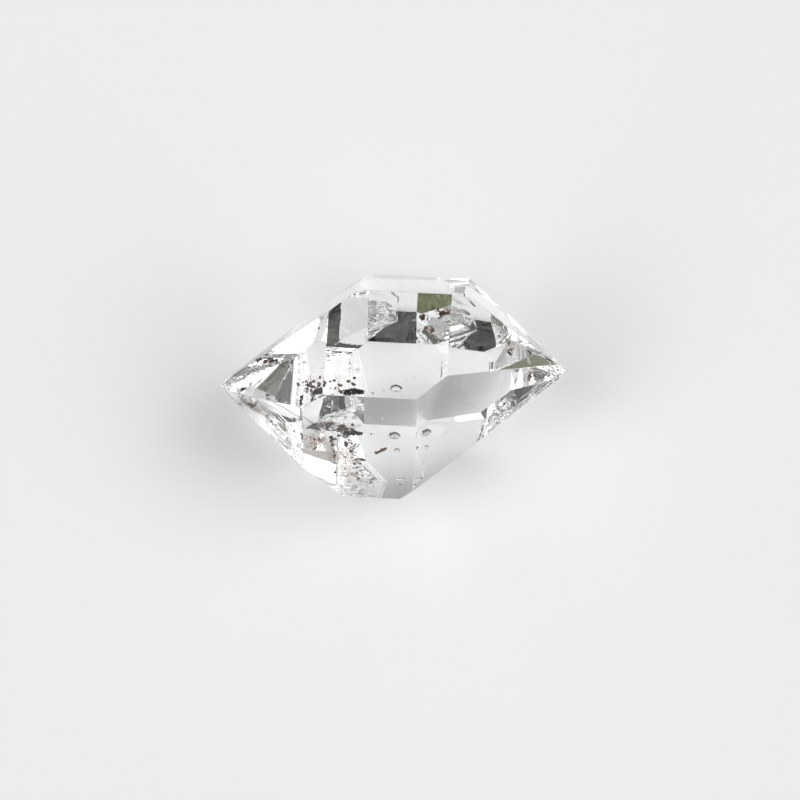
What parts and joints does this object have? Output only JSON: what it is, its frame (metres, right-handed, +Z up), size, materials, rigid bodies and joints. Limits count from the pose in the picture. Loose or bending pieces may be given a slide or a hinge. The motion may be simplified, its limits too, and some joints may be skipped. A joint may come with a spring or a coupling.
{
  "type": "herkimer diamond quartz crystal",
  "caption": "Clear doubly terminated quartz crystal, a squat hexagonal prism with a faceted point at each end, resting on a prism face.",
  "frame": {"origin": "middle of the crystal's box, at the height of the surface it rests on", "axes": "+X along the crystal's long axis towards its cleaner point, +Z up out of the resting face, -Y towards the viewer"},
  "size_m": [0.0312, 0.021, 0.0185],
  "materials": {
    "clear_quartz": "polished natural crystal faces"
  },
  "bodies": {
    "root": {"crystal": "clear_quartz"}
  },
  "joints": []
}
